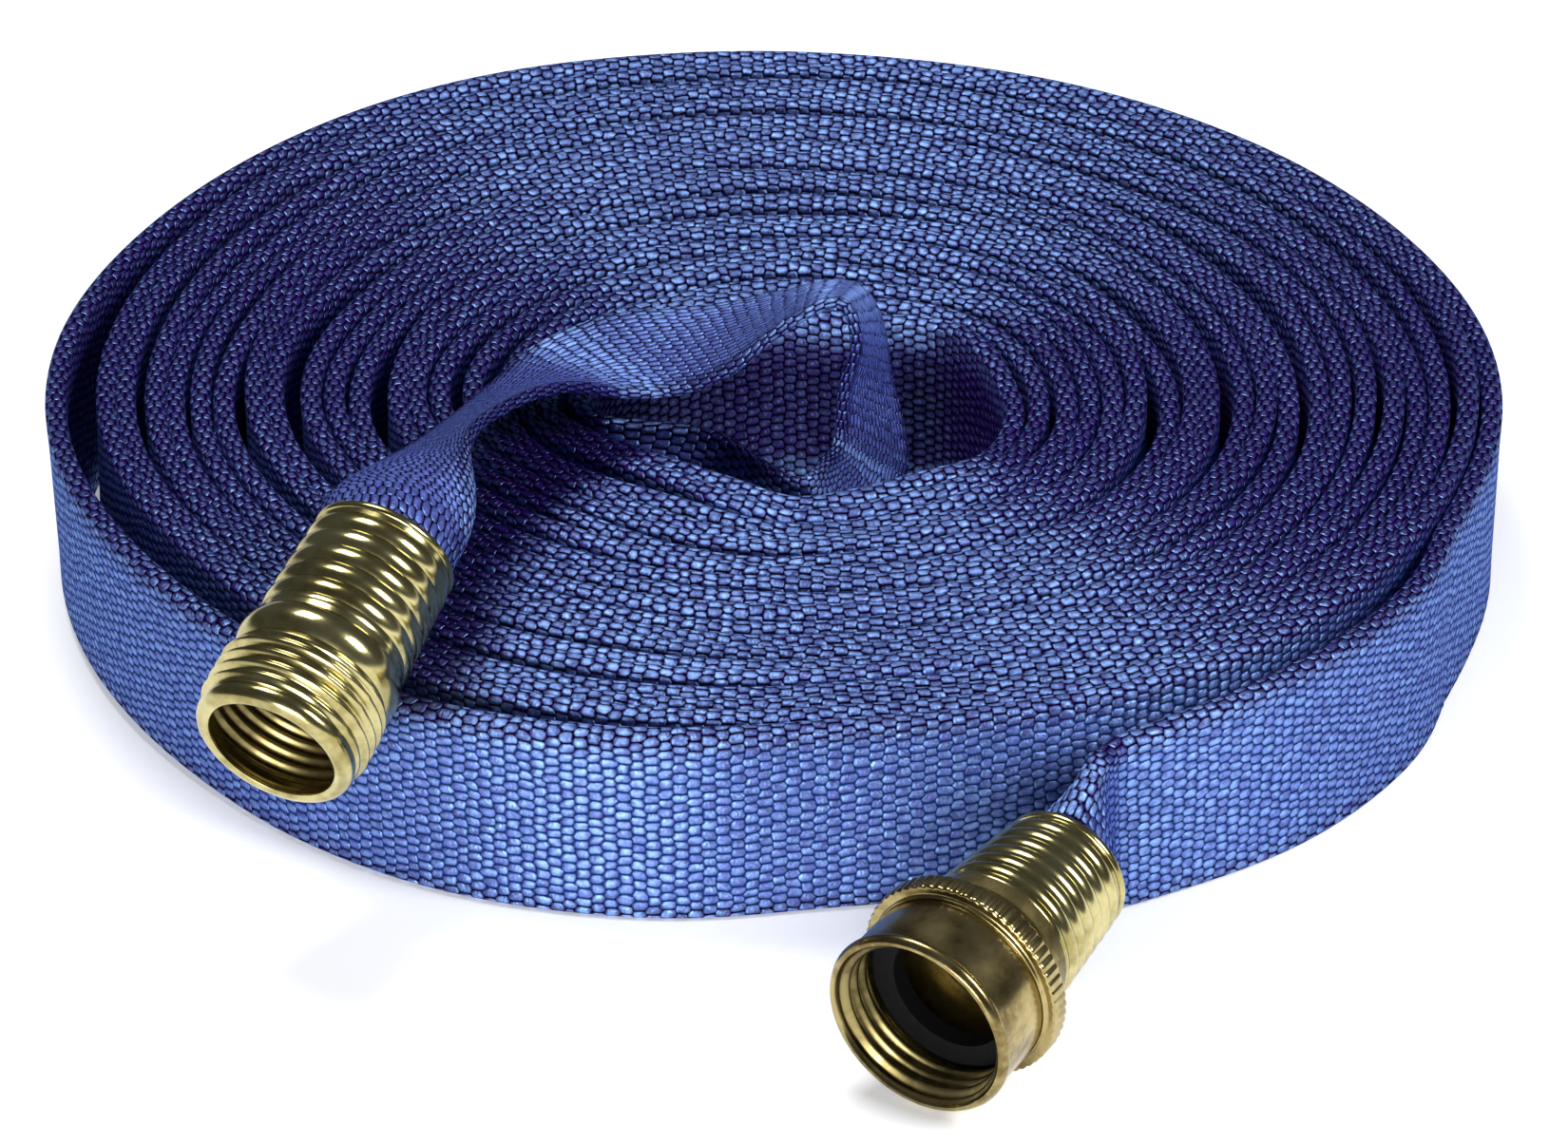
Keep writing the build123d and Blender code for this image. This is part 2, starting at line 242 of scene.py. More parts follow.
def outline_turns(angle):
    """The radius of the hose's middle along the first turn, and along the last."""
    half = HOSE_THICKNESS / 2
    direction, radius = np.array(HOLE_OUTLINE, float)[::-1].T
    first_turn = np.interp(np.degrees(angle[: STEPS_PER_TURN + 1]), direction, radius)

    direction, radius = np.array(ROLL_OUTLINE, float).T
    direction = np.radians(direction)
    around_pole = (
        ROLL_CENTRE + radius[:, None] * np.stack((np.cos(direction), np.sin(direction)), axis=1) - POLE
    )
    pole_angle = np.unwrap(np.arctan2(around_pole[:, 1], around_pole[:, 0]))
    pole_radius = np.linalg.norm(around_pole, axis=1)
    last_angle = angle[-STEPS_PER_TURN - 1 :]
    last_angle = last_angle - last_angle[0] + radians(END_ANGLE)
    last_turn = np.interp(last_angle[::-1], pole_angle[::-1], pole_radius[::-1])[::-1]
    return smooth(first_turn, OUTLINE_SMOOTHING) + half, smooth(last_turn, OUTLINE_SMOOTHING) - half


def settle(radius, target, fixed, step_angle):
    """Let the turns drift towards the target, and push them apart where they are too close."""
    rounds, drifting_rounds, drift = 500, 400, 0.02
    held = radius.copy()
    inner_free = ~fixed[:-STEPS_PER_TURN]
    outer_free = ~fixed[STEPS_PER_TURN:]
    free = np.maximum(inner_free.astype(int) + outer_free.astype(int), 1)
    for round_number in range(rounds):
        slope = np.gradient(radius, step_angle)
        need = (HOSE_THICKNESS + CLEARANCE) * np.sqrt(1 + (slope / radius) ** 2)
        need = np.maximum(need[STEPS_PER_TURN:], need[:-STEPS_PER_TURN])
        short = np.maximum(radius[:-STEPS_PER_TURN] + need - radius[STEPS_PER_TURN:], 0)
        share = short / free
        radius[STEPS_PER_TURN:] += share * outer_free
        radius[:-STEPS_PER_TURN] -= share * inner_free
        if round_number < drifting_rounds:
            radius += drift * (target - radius)
            radius = smooth(radius, 1)
            radius[fixed] = held[fixed]
    return radius


def roll_radii():
    """The polar angle and radius of the hose's middle at each step of the roll, inside first."""
    steps = int(round(TURNS * STEPS_PER_TURN)) + 1
    winding = np.arange(steps) * 2 * pi / STEPS_PER_TURN
    angle = radians(START_ANGLE) - winding
    first_turn, last_turn = outline_turns(angle)

    # Every crossing of a ray from the pole is spaced evenly between the first turn's and the last's.
    step = np.arange(steps)
    turn = step // STEPS_PER_TURN
    turns_left, steps_left = np.divmod(steps - 1 - step, STEPS_PER_TURN)
    first = first_turn[step % STEPS_PER_TURN]
    last = last_turn[STEPS_PER_TURN - steps_left]
    crossings = turn + turns_left
    even = first + (last - first) * turn / crossings
    target = smooth(even, 20)
    slack = (last - first) / crossings - HOSE_THICKNESS
    wander = group_wander(winding, seed=5, across=3.0, around=4)
    target += wander * np.clip(slack, 0.1, 2.2) * WANDER

    # At the left the outermost turn stands off from the rest.
    from_outside = (steps - 1 - step) / STEPS_PER_TURN
    left = np.clip(np.cos(angle - radians(STANDOFF_ANGLE)), 0, 1) ** 1.5
    target -= STANDOFF * left * np.interp(from_outside, (0.5, 1.0, 2.0, 6.0), (0, 1, 0.9, 0))

    fixed = (step <= STEPS_PER_TURN) | (step >= steps - 1 - STEPS_PER_TURN)
    return angle, settle(np.where(fixed, even, target), target, fixed, winding[1])


def roll_middle():
    """The middle of the rolled hose, its width's direction and its fullness.

    Each turn stands a little its own way, and fills the room between its neighbours at the front
    and the back, where the turns lie close.
    """
    angle, radius = roll_radii()
    radial = np.column_stack((np.cos(angle), np.sin(angle), np.zeros(len(angle))))
    winding = np.arange(len(angle)) * 2 * pi / STEPS_PER_TURN
    from_end = np.minimum(winding, winding[-1] - winding)
    settled = np.clip(from_end / 1.5, 0, 1)  # nothing changes at either end of the roll
    places = np.append(POLE, MIDDLE_HEIGHT) + radius[:, None] * radial
    lift = group_wander(winding, seed=11, across=2.2, around=3).clip(-1, 1)
    places[:, 2] += (0.7 + 0.7 * lift) * settled
    lean = 0.03 * group_wander(winding, seed=23, across=0.5, around=3) * settled
    room = radius[STEPS_PER_TURN:] - radius[:-STEPS_PER_TURN]
    no_neighbour = np.full(STEPS_PER_TURN, 99)
    room = np.minimum(np.append(room, no_neighbour), np.append(no_neighbour, room))
    spare = np.clip((room + 0.1) / HOSE_THICKNESS, 1, MOST_FULL) - 1
    fullness = smooth(1 + spare * np.sin(angle) ** 2 * settled, 4)
    return places, UP + radial * lean[:, None], fullness


# === The free outer end, from where it peels off the roll to the end of the female ferrule ========
OUTER_OPENING = 13.0  # the length over which the hose opens out
CREASE = ((50.0, -90.0, 16.5), (-0.05, -0.2, 1))


def outer_end_stations(roll_end):
    """(middle of the hose, direction of its width), like the inner end's. The crease is a sharp fold."""
    return [
        (tuple(roll_end), (0, 0, 1)),
        ((106.0, -26.5, 16.5), (0, 0, 1)),
        ((101.0, -42.5, 16.5), (0, 0, 1)),
        ((92.0, -56.5, 16.5), (0, 0, 1)),
        ((81.5, -68.0, 16.5), (0, 0, 1)),
        ((70.5, -77.0, 16.5), (0, -0.05, 1)),
        ((59.5, -84.0, 16.5), (0, -0.1, 1)),
        ((52.0, -88.5, 16.5), (-0.05, -0.15, 1)),
        CREASE,
        CREASE,
        ((49.5, -91.5, 16.6), (-0.05, -0.2, 1)),
        (tuple(FEMALE_REAR), (-0.05, -0.1, 1)),
        (tuple(FEMALE_REAR + FEMALE_AXIS * FERRULE_LENGTH), (-0.05, -0.1, 1)),
    ]


# === The hose's section: a flat tube with round folds, in order from the bottom of its lower fold ==
FOLD_STEPS = 5  # to a quarter turn
FACE_STEPS = 6
FOLD_ROUNDNESS = 0.6  # 1 would be a half circle
FACE_SINK = 0.1  # the faces are pressed together a little between the folds


def flat_section():
    """(across, out) points of the flat hose: half a fold, outer face, fold, inner face, half a fold."""
    radius = HOSE_THICKNESS / 2
    crown = FOLD_ROUNDNESS * radius
    straight = HOSE_WIDTH / 2 - crown
    waist = radius - FACE_SINK
    quarter = np.linspace(0, pi / 2, FOLD_STEPS + 1)
    face = np.linspace(-straight, straight, FACE_STEPS + 1)[1:-1]
    points = [(-straight - crown * cos(a), radius * sin(a)) for a in quarter]
    points += [(x, waist) for x in face]
    points += [(straight + crown * sin(a), radius * cos(a)) for a in quarter]
    points += [(straight + crown * cos(a), -radius * sin(a)) for a in quarter[1:]]
    points += [(-x, -waist) for x in face]
    points += [(-straight - crown * sin(a), -radius * cos(a)) for a in quarter[:-1]]
    return np.array(points)


FLAT = flat_section()
AROUND = np.concatenate((arc_lengths(FLAT), [0]))
AROUND[-1] = AROUND[-2] + np.linalg.norm(FLAT[-1] - FLAT[0])  # once round, in millimetres
ROUND = AROUND[:-1, None] * 2 * pi / AROUND[-1]
ROUND = np.hstack((-np.cos(ROUND), np.sin(ROUND)))  # the same points on a circle


def sections(openness, radius, thickness, inset):
    """One section per ring: flat at openness 0 and a circle of that radius at openness 1.

    thickness is a share of HOSE_THICKNESS, and inset is the skin's distance inside the jacket's.
    """
    flat = FLAT - unit(FLAT * (0.02, 1)) * inset
    flat = flat * np.stack((np.ones(len(thickness)), thickness), axis=1)[:, None]
    opened = openness[:, None, None]
    return flat * (1 - opened) + ROUND * (radius[:, None, None] - inset) * opened


def tube(name, middle, across, out, shape, along):
    """A closed skin of quads round the rings, with weave coordinates in metres in the layer "weave"."""
    rings = middle[:, None] + shape[:, :, :1] * across[:, None] + shape[:, :, 1:] * out[:, None]
    count, size = shape.shape[:2]
    i, j = np.meshgrid(np.arange(count - 1), np.arange(size), indexing="ij")
    i, j = i.ravel(), j.ravel()
    k = (j + 1) % size
    quads = np.stack((i * size + j, i * size + k, (i + 1) * size + k, (i + 1) * size + j), axis=1)
    ends = [list(range(size))[::-1], list(range((count - 1) * size, count * size))]
    mesh = bpy.data.meshes.new(name)
    mesh.from_pydata((rings.reshape(-1, 3) * MM).tolist(), [], quads.tolist() + ends)
    weave = mesh.uv_layers.new(name="weave")
    u = np.stack((along[i], along[i], along[i + 1], along[i + 1]), axis=1)
    v = np.stack((AROUND[j], AROUND[j + 1], AROUND[j + 1], AROUND[j]), axis=1)
    corners = np.zeros((len(mesh.loops), 2))
    corners[: 4 * len(quads)] = np.stack((u, v), axis=2).reshape(-1, 2) * MM
    weave.data.foreach_set("uv", corners.ravel())
    mesh.shade_smooth()
    piece = bpy.data.objects.new(name, mesh)
    bpy.context.scene.collection.objects.link(piece)
    return piece


RING_STEP = 2.1
JACKET_DEPTH = 10  # how many rings back from a ferrule's front the jacket is hollow
LINER_DEPTH = 9


def make_hose(name, liner_name, middle, way, opening, round_radii, fullness):
    """A jacket and its liner along the middle, which ends at the front of a ferrule.

    opening is the length over which the hose opens out, and fullness is the flat hose's thickness
    at each point, as a share of HOSE_THICKNESS. Returns both, the middle and its length.
    """
    length = arc_lengths(middle)[-1]
    at = np.linspace(0, length, int(length / RING_STEP) + 1)
    thickness = np.interp(at, arc_lengths(middle), fullness)[::-1]
    middle, way = resample(middle, at, way)
    # The rings are in order from the coupling to the other end.
    at, middle, way = at[::-1], middle[::-1], way[::-1]
    before_rear = length - FERRULE_LENGTH - at
    openness = np.clip(1 - np.maximum(before_rear, 0) / opening, 0, 1)
    radius = np.interp(before_rear, (-FERRULE_LENGTH, 0), round_radii[::-1])
    heading = unit(np.gradient(middle, axis=0))
    # Flat cloth may shear, so only the round part is square to its path.
    slant = np.sum(way * heading, axis=1, keepdims=True) * openness[:, None]
    across = unit(way - heading * slant)
    out = unit(np.cross(across, heading))

    def skin(skin_name, outer_inset, inner_inset, depth, count):
        """The first count rings, turned in at the coupling and hollow for depth rings."""
        ring = np.concatenate((np.arange(depth, -1, -1), np.arange(count)))
        inset = np.concatenate((np.full(depth + 1, inner_inset), np.full(count, outer_inset)))
        inset = inset[:, None, None]
        return tube(
            skin_name, middle[ring], across[ring], out[ring],
            sections(openness[ring], radius[ring], thickness[ring], inset), at[ring],
        )

    jacket = skin(name, 0.0, JACKET_WALL, JACKET_DEPTH, len(at))
    liner_inset = JACKET_WALL + LINER_GAP
    liner = skin(liner_name, liner_inset, liner_inset + LINER_WALL, LINER_DEPTH - 1, LINER_DEPTH)
    return jacket, liner, middle, length


def make_tail():
    """The free inner end, which thins out over its first 30 mm."""
    middle, way = hose_route(TAIL_STATIONS)
    fullness = np.interp(arc_lengths(middle), (0, 30), (1, TAIL_THINNESS))
    return make_hose(
        "inner_tail", "inner_tail_lining", middle, way, TAIL_OPENING, MALE_ROUND, fullness
    )


def make_roll():
    """The rolled hose and its free outer end, in one piece."""
    turns, turns_way, fullness = roll_middle()
    end, end_way = hose_route(outer_end_stations(turns[-1]))
    middle = np.vstack((turns[:-1], end))
    way = np.vstack((turns_way[:-1], unit(end_way)))
    fullness = np.append(fullness[:-1], np.full(len(end), fullness[-1]))
    return make_hose(
        "hose_roll", "outer_end_lining", middle, way, OUTER_OPENING, FEMALE_ROUND, fullness
    )


# === Materials =====================================================================================
class Nodes:
    """A material's node tree, with short calls for its links."""

    def __init__(self, name):
        self.material = bpy.data.materials.new(name)
        self.material.use_nodes = True
        self.tree = self.material.node_tree
        self.tree.nodes.clear()
        self.output = self.tree.nodes.new("ShaderNodeOutputMaterial")
        self.shader = self.tree.nodes.new("ShaderNodeBsdfPrincipled")
        self.tree.links.new(self.shader.outputs["BSDF"], self.output.inputs["Surface"])

    def set(self, node, socket, value):
        """Link the socket to another node's output, or give it a constant."""
        if isinstance(value, bpy.types.NodeSocket):
            self.tree.links.new(value, node.inputs[socket])
        else:
            node.inputs[socket].default_value = value

    def node(self, kind, inputs=(), output=0, **settings):
        """Add a node and return one of its outputs."""
        node = self.tree.nodes.new(kind)
        for key, value in settings.items():
            setattr(node, key, value)
        for socket, value in dict(inputs).items():
            self.set(node, socket, value)
        return node.outputs[output]

    def math(self, operation, first, second=0.0, clamp=False):
        return self.node("ShaderNodeMath", {0: first, 1: second}, operation=operation, use_clamp=clamp)

    def noise(self, vector, scale, detail=2.0, roughness=0.5):
        inputs = {"Vector": vector, "Scale": scale, "Detail": detail, "Roughness": roughness}
        return self.node("ShaderNodeTexNoise", inputs)

    def mix(self, share, first, second):
        return self.node("ShaderNodeMix", {0: share, 6: first, 7: second}, output=2, data_type="RGBA")

    def ramp(self, value, low, high):
        """0 up to low and 1 from high on, with a smooth step between them."""
        inputs = {"Value": value, "From Min": low, "From Max": high}
        return self.node("ShaderNodeMapRange", inputs, interpolation_type="SMOOTHSTEP")

    def bump(self, height, distance, strength=1.0):
        inputs = {"Height": height, "Distance": distance, "Strength": strength}
        return self.node("ShaderNodeBump", inputs)

    def mix_shader(self, share, other):
        """Lay another shader over the material's own."""
        mixed = self.node("ShaderNodeMixShader", {0: share, 1: self.shader.outputs["BSDF"], 2: other})
        self.tree.links.new(mixed, self.output.inputs["Surface"])

    def finish(self, **sockets):
        """Set the main shader's sockets and return the material."""
        for name, value in sockets.items():
            self.set(self.shader, name.replace("_", " "), value)
        return self.material


BEAD_WIDTH = AROUND[-1] * MM / 42  # a whole number of beads goes round the hose
COLUMN_PITCH = 2.08 * MM  # along the hose, from one column of beads to the next
BEAD_REACH = 0.28  # half a bead's length, as a share of two columns
BEAD_SLIMNESS = 2.1  # at 2 a bead would touch the ones beside it
GLINT_SPOT_SLIMNESS = (14.0, 3.5)  # of the painted glint spot on a bead's top, along and across it
CREVICE_SHADE = (0.004, 0.0, 0.018, 1)  # painted shade between the beads
PAINTED_LIT_CREVICE = (0.006, 0.065, 0.28, 1)  # the painted crevice shade, made lighter by painted light on the roll's outer face
YARN_DARK = (0.011, 0.0015, 0.055, 1)
YARN_LIGHT = (0.026, 0.006, 0.13, 1)
# The faces' colours are a lighter copy of the folds' colours, as painted light; dark and pale still mix
# at random.
PAINTED_LIT_FACE_DARK = (0.045, 0.038, 0.2, 1)
PAINTED_LIT_FACE_PALE = (0.14, 0.19, 0.7, 1)
PAINTED_GLINT = (0.3, 0.26, 0.62, 1)  # painted glint on the very tops of the beads
YARN_SHINE = (0.29, 0.5, 1.0, 1)


def woven_jacket(name, painted_face_light, outer_side, full_light_crevice):
    """A dense plain weave: the long yarns show as short beads, set like bricks.

    One face is painted lighter as painted light, which leaves the other face and the folds looking shaded
    beside it. The second argument is how strong that painted light is, outer_side is 1 or -1 for the
    face, and the last is the colour between its beads where the painted light is full.
    """
    m = Nodes(name)
    uv = m.node("ShaderNodeUVMap", uv_map="weave")
    place = m.node("ShaderNodeTexCoord", output="Object")
    split = m.node("ShaderNodeSeparateXYZ", {0: uv})
    along, across = split, split.node.outputs[1]
    wobble = m.math("SUBTRACT", m.noise(uv, 330.0, 3.0), 0.5)
    sway = m.math("SUBTRACT", m.noise(place, 120.0, 2.0), 0.5)
    a = m.math("ADD", m.math("DIVIDE", along, 2 * COLUMN_PITCH), m.math("MULTIPLY", wobble, 0.5))
    b = m.math("ADD", m.math("DIVIDE", across, BEAD_WIDTH), m.math("MULTIPLY", sway, 1.2))

    def beads(shift):
        """The height of every second column of beads, and the painted glint spots on their tops."""
        u = m.math("FRACT", m.math("ADD", a, shift))
        u = m.math("DIVIDE", m.math("SUBTRACT", u, 0.5), BEAD_REACH)
        u = m.math("MULTIPLY", u, u)
        v = m.math("FRACT", m.math("ADD", b, shift))
        v = m.math("MULTIPLY", m.math("SUBTRACT", v, 0.5), BEAD_SLIMNESS)
        v = m.math("MULTIPLY", v, v)
        left = m.math("SUBTRACT", 1.0, m.math("ADD", m.math("MULTIPLY", u, u), v))
        spot_u = m.math("MULTIPLY", u, GLINT_SPOT_SLIMNESS[0])
        glint_spot = m.math("ADD", spot_u, m.math("MULTIPLY", v, GLINT_SPOT_SLIMNESS[1]))
        return m.math("SQRT", m.math("MAXIMUM", left, 0.0)), m.math("SUBTRACT", 1.0, glint_spot)

    height, glint_spot = (m.math("MAXIMUM", *pair) for pair in zip(beads(0.0), beads(0.5)))
    fuzzy = m.math("ADD", height, m.math("MULTIPLY", m.noise(uv, 3000.0, 2.0), 0.3))
    patchy = m.ramp(m.noise(uv, 700.0, 2.0), 0.3, 0.7)
    # outward is 1 in the middle of the face that is painted lighter, 0 at the folds and -1 on the other
    # face.
    round_it = m.math("MULTIPLY", across, 2 * pi / (AROUND[-1] * MM))
    outward = m.math("MULTIPLY", m.math("SINE", round_it), outer_side)
    # Painted light: one face takes the lighter face colours, so the other face and the folds look shaded.
    face = m.math("MULTIPLY", m.ramp(outward, 0.2, 0.5), painted_face_light)
    yarn = m.mix(face, m.mix(patchy, YARN_DARK, YARN_LIGHT), m.mix(patchy, PAINTED_LIT_FACE_DARK, PAINTED_LIT_FACE_PALE))
    # Painted shade: the crevices between the beads are coloured dark, lighter only where the face carries
    # painted light.
    crevice_shade = m.mix(face, CREVICE_SHADE, full_light_crevice)
    colour = m.mix(m.ramp(height, 0.2, 0.95), crevice_shade, yarn)
    # Painted highlights: pale glint dots on the very tops of the beads, here and there.
    glint_spot = m.math("MULTIPLY", m.ramp(glint_spot, 0.15, 0.9), m.ramp(m.noise(uv, 450.0, 1.0), 0.35, 0.65))
    colour = m.mix(m.math("MULTIPLY", glint_spot, 0.45), colour, PAINTED_GLINT)
    # The shine is stretched, as on satin, so a fold is bright from one side and dark from another.
    normal = m.bump(fuzzy, 0.5 * MM, 1.0)
    gloss = m.node("ShaderNodeBsdfAnisotropic", {
        "Color": YARN_SHINE, "Roughness": 0.4, "Anisotropy": 0.6, "Normal": normal,
        "Tangent": m.node("ShaderNodeTangent", direction_type="UV_MAP", uv_map="weave"),
    })
    glint = m.math("MULTIPLY_ADD", m.ramp(m.noise(uv, 550.0, 2.0), 0.35, 0.7), 0.42)
    glint.node.inputs[2].default_value = 0.2
    glint = m.math("MULTIPLY", glint, m.math("ADD", m.ramp(outward, -0.7, -0.3), 0.25))
    share = m.math("MULTIPLY", m.ramp(fuzzy, 0.35, 1.2), glint, clamp=True)
    m.mix_shader(share, gloss)
    return m.finish(Base_Color=colour, Roughness=0.7, Normal=normal, Specular_IOR_Level=0.0)


def brass(name, bright, dull, low, high):
    """Brass with dull stains. low and high are its roughness."""
    m = Nodes(name)
    place = m.node("ShaderNodeTexCoord", output="Object")
    tarnish = m.noise(place, 110.0, 5.0, 0.65)
    spots = m.noise(place, 600.0, 3.0, 0.6)
    stained = m.ramp(m.math("ADD", tarnish, m.math("MULTIPLY", spots, 0.3)), 0.5, 0.85)
    colour = m.mix(stained, bright, dull)
    roughness = m.node("ShaderNodeMapRange", {"Value": spots, "To Min": low, "To Max": high})
    return m.finish(
        Base_Color=colour, Metallic=1.0, Roughness=roughness, Normal=m.bump(tarnish, 0.02 * MM, 0.4)
    )


def black_rubber():
    m = Nodes("black_rubber")
    place = m.node("ShaderNodeTexCoord", output="Object")
    grain = m.noise(place, 1500.0, 3.0)
    colour = m.mix(grain, (0.003, 0.003, 0.003, 1), (0.008, 0.008, 0.009, 1))
    return m.finish(
        Base_Color=colour, Roughness=0.7, Specular_IOR_Level=0.1, Normal=m.bump(grain, 0.03 * MM, 0.5)
    )


def pale_floor():
    m = Nodes("pale_floor")
    place = m.node("ShaderNodeTexCoord", output="Object")
    colour = m.mix(m.noise(place, 3.0), (0.86, 0.86, 0.87, 1), (0.88, 0.88, 0.885, 1))
    return m.finish(
        Base_Color=colour, Roughness=0.7, Emission_Color=(1, 1, 1, 1), Emission_Strength=0.3
    )


# Both jackets carry painted light on one face: the roll's in part, the tail's in full.
JACKET = woven_jacket("woven_jacket", 0.42, -1, PAINTED_LIT_CREVICE)
TAIL_JACKET = woven_jacket("lit_face_jacket", 1.0, 1, CREVICE_SHADE)
BRASS = brass("brass", (0.56, 0.5, 0.24, 1), (0.3, 0.25, 0.09, 1), 0.12, 0.25)
# Painted shade: the inside of the couplings is coloured darker, and its brass is rougher.
SHADED_INNER_BRASS = brass("shaded_inner_brass", (0.3, 0.24, 0.1, 1), (0.1, 0.08, 0.03, 1), 0.25, 0.45)
NUT_BRASS = brass("nut_brass", (0.42, 0.34, 0.15, 1), (0.14, 0.1, 0.035, 1), 0.15, 0.3)
RUBBER = black_rubber()

# === Couplings =====================================================================================
def fillet(corners, steps=4):
    """The outline through (radius, distance, fillet) corners, each rounded by its own fillet.

    A corner with no fillet stays sharp.
    """
    points = []
    for i, corner in enumerate(corners):
        here = np.array(corner[:2], float)
        round_by = corner[2] if len(corner) > 2 else 0.0
        if not round_by:
            points.append(tuple(here))
            continue
        before = np.array(corners[i - 1][:2], float) - here
        after = np.array(corners[(i + 1) % len(corners)][:2], float) - here
        back = min(round_by, 0.45 * np.linalg.norm(before), 0.45 * np.linalg.norm(after))
        start, end = here + unit(before) * back, here + unit(after) * back
        for t in np.linspace(0, 1, steps + 1):
            points.append(tuple((1 - t) ** 2 * start + 2 * t * (1 - t) * here + t * t * end))
    return points


SHARP_BEND = 38.0  # degrees: a lathed outline's larger bends stay crisp


def lathe(name, rear, axis, profile, inner=0, change=None, segments=144, outside=None):
    """A closed outline of (radius, distance) turned about a coupling's axis. change adds to the radius.

    The surface from point number inner of the outline on is the inside, which is rougher and coloured
    darker as painted shade. The rest has the material outside.
    """
    side = unit(np.cross(axis, UP))
    top = np.cross(side, axis)
    outline = np.array(profile, float)
    turn = np.arange(segments) * 2 * pi / segments
    radius = np.repeat(outline[:, :1], segments, axis=1)
    if change is not None:
        radius = radius + change(outline[:, :1], outline[:, 1:], turn[None])
    radial = np.cos(turn)[:, None] * side + np.sin(turn)[:, None] * top
    places = rear + outline[:, 1, None, None] * axis + radius[:, :, None] * radial[None]
    count = len(outline)
    i, j = np.meshgrid(np.arange(count), np.arange(segments), indexing="ij")
    i, j = i.ravel(), j.ravel()
    i2, j2 = (i + 1) % count, (j + 1) % segments
    corners = (i * segments + j, i2 * segments + j, i2 * segments + j2, i * segments + j2)
    mesh = bpy.data.meshes.new(name)
    mesh.from_pydata((places.reshape(-1, 3) * MM).tolist(), [], np.stack(corners, axis=1).tolist())
    mesh.shade_smooth()
    mesh.materials.append(outside or BRASS)
    mesh.materials.append(SHADED_INNER_BRASS)
    inside = i >= (inner or count)
    mesh.polygons.foreach_set("material_index", inside.astype(np.int32))
    edges = unit(np.roll(outline, -1, axis=0) - outline)
    bend = np.degrees(np.arccos(np.clip(np.sum(edges * np.roll(edges, 1, axis=0), axis=1), -1, 1)))
    crisp = bend > SHARP_BEND
    first_ring = np.array([edge.vertices[0] // segments for edge in mesh.edges])
    second_ring = np.array([edge.vertices[1] // segments for edge in mesh.edges])
    sharp_edges = mesh.attributes.new("sharp_edge", "BOOLEAN", "EDGE")
    sharp_edges.data.foreach_set("value", (first_ring == second_ring) & crisp[first_ring])
    area = sum(a[0] * b[1] - b[0] * a[1] for a, b in zip(outline, np.roll(outline, -1, axis=0)))
    if area > 0:  # the outline runs the other way round, so the faces point inwards
        mesh.flip_normals()
    piece = bpy.data.objects.new(name, mesh)
    bpy.context.scene.collection.objects.link(piece)
    return piece


THREAD_PITCH = 2.209  # 11.5 threads to the inch
FERRULE_WALL = 0.6
RIBS_START, RIBS_END = 2.0, 18.5


def ferrule_profile(round_radii, ribs, rib_height):
    """A ribbed sleeve with a rolled lip at its rear."""
    rear, front = (radius + FERRULE_WALL for radius in round_radii)
    pitch = (RIBS_END - RIBS_START) / ribs

    def cone(distance):
        return rear + (front - rear) * distance / FERRULE_LENGTH

    points = [(round_radii[0], 0.7), (round_radii[0] + 0.15, 0.1)]
    points += [(rear + 0.2 + 0.4 * cos(a), 0.65 - 0.65 * sin(a)) for a in np.linspace(pi / 2, -pi / 2, 9)]
    for rib in range(ribs):
        for part in np.linspace(0, 1, 11)[:-1]:
            distance = RIBS_START + (rib + part) * pitch
            points.append((cone(distance) + rib_height * sin(pi * part) ** 0.7, distance))
    points += [(cone(RIBS_END), RIBS_END), (cone(18.8) + 0.12, 18.9), (front + 0.15, 19.6)]
    points += [(front, FERRULE_LENGTH), (round_radii[1], FERRULE_LENGTH)]
    return points


def ridge(phase, sharpness=1.0):
    """A rolled thread's ridge: 1 on the crest and 0 in the root, once for each whole phase."""
    return (0.5 + 0.5 * np.cos(2 * pi * phase)) ** sharpness


def run_out(distance, start, end, over):
    """A thread's height along it: 1 all the way except near its two ends, where it fades to 0."""
    return np.clip((distance - start) / over, 0, 1) * np.clip((end - distance) / over, 0, 1)


def wall(radius, start, end, step=0.17):
    """Close points along a wall, from one distance to the other."""
    return [(radius, d) for d in np.linspace(start, end, int(abs(end - start) / step) + 1)]


MALE_THREAD_START, MALE_THREAD_END = 26.6, 37.0
MALE_ROOT_OUTSIDE, MALE_ROOT_INSIDE = 12.35, 11.55  # the pressed shell is threaded on both sides


